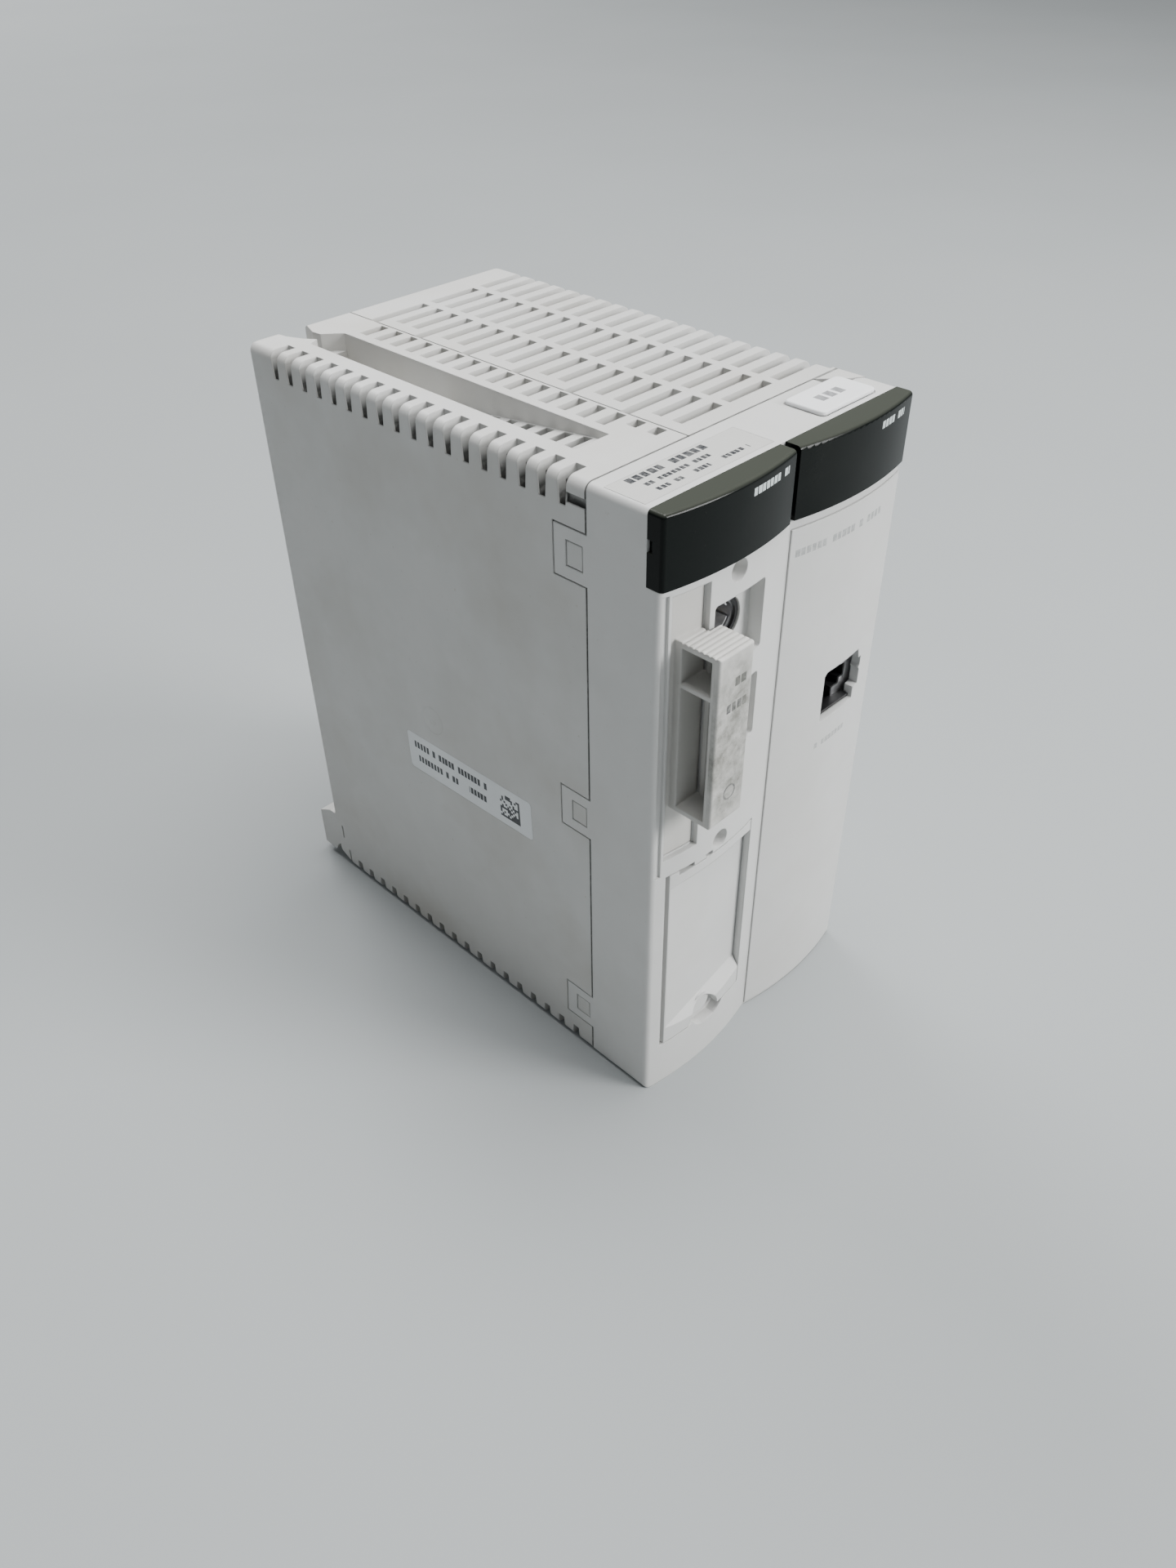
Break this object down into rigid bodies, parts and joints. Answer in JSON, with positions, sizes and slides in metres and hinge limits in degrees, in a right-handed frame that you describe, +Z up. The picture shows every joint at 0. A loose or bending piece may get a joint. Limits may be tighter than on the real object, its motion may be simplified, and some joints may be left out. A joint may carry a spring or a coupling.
{
  "type": "plc module",
  "caption": "Double-width rack controller with slotted casing, smoked displays, round sockets, network jack and a memory card with pull grip.",
  "frame": {"origin": "centre of the bottom of the bounding box, card grip and rear lugs included", "axes": "+X right seen from the front, -Y out of the front, +Z up"},
  "size_m": [0.074, 0.1378, 0.1518],
  "materials": {
    "casing_plastic": "fine spark-eroded moulding texture, warm light grey",
    "cover_plastic": "satin moulded, warm light grey",
    "card_plastic": "satin moulded, slightly soiled",
    "smoked_window": "glossy, smoked",
    "black_plastic": "satin moulded",
    "light_guide": "clear, polished",
    "board_green": "solder mask",
    "contact_brass": "flash gold",
    "tinned_steel": "tin plated",
    "zinc_steel": "zinc plated",
    "label_white": "printed paper",
    "label_clear": "clear printed film",
    "marker_white": "satin moulded"
  },
  "bodies": {
    "chassis": {"auxiliary_socket": "black_plastic", "auxiliary_socket_pins": "contact_brass", "auxiliary_socket_shield": "tinned_steel", "board_screws": "zinc_steel", "board_spacers": "zinc_steel", "bus_board": "board_green", "bus_connector": "black_plastic", "bus_contacts": "contact_brass", "card_cage": "black_plastic", "card_header": "black_plastic", "card_header_pins": "contact_brass", "cover_hinge_pins": "zinc_steel", "display_window_left": "smoked_window", "display_window_right": "smoked_window", "front_cover": "cover_plastic", "indicator_board_left": "board_green", "indicator_board_right": "board_green", "indicator_lights_left": "light_guide", "indicator_lights_right": "light_guide", "lower_card_cage": "black_plastic", "lower_card_header": "black_plastic", "network_board": "board_green", "network_chips": "black_plastic", "network_jack": "black_plastic", "network_jack_contacts": "contact_brass", "network_jack_shield": "tinned_steel", "network_panel": "cover_plastic", "processor_board": "board_green", "processor_chips": "black_plastic", "rear_casing_left": "casing_plastic", "rear_casing_right": "casing_plastic", "release_spring": "zinc_steel", "release_switch": "black_plastic", "reset_spring": "zinc_steel", "reset_switch": "black_plastic", "side_label": "label_white", "slot_marker": "marker_white", "terminal_socket": "black_plastic", "terminal_socket_pins": "contact_brass", "terminal_socket_shield": "tinned_steel", "type_label": "label_clear"},
    "card": {"memory_card": "zinc_steel", "card_handle": "card_plastic"},
    "reset_button": {"reset_button": "card_plastic"},
    "release_button": {"release_button": "card_plastic"},
    "slot_cover": {"slot_cover": "cover_plastic"},
    "screw_clip": {"captive_clip": "zinc_steel"},
    "mounting_screw": {"mounting_screw": "zinc_steel"}
  },
  "joints": [
    {"name": "card_slide", "type": "slide", "parent": "chassis", "child": "card", "axis": [0, -1, 0], "range_m": [0, 0.096]},
    {"name": "reset_press", "type": "slide", "parent": "chassis", "child": "reset_button", "axis": [0, 1, 0], "range_m": [0, 0.0008], "stiffness_N_per_m": 800, "springref_m": -0.0015, "deforming": ["reset_spring"]},
    {"name": "release_press", "type": "slide", "parent": "chassis", "child": "release_button", "axis": [0, 1, 0], "range_m": [0, 0.0015], "stiffness_N_per_m": 800, "springref_m": -0.0015, "deforming": ["release_spring"]},
    {"name": "slot_cover_swing", "type": "hinge", "parent": "chassis", "child": "slot_cover", "pos_m": [-0.0307, -0.05785, 0.04005], "axis": [0, 0, -1], "range_deg": [0, 95]},
    {"name": "screw_draw", "type": "slide", "parent": "chassis", "child": "screw_clip", "axis": [0, -1, 0], "range_m": [0, 0.005]},
    {"name": "screw_turn", "type": "hinge", "parent": "screw_clip", "child": "mounting_screw", "pos_m": [-0.0245, 0.06255, 0.144], "axis": [0, 1, 0], "continuous": true}
  ]
}
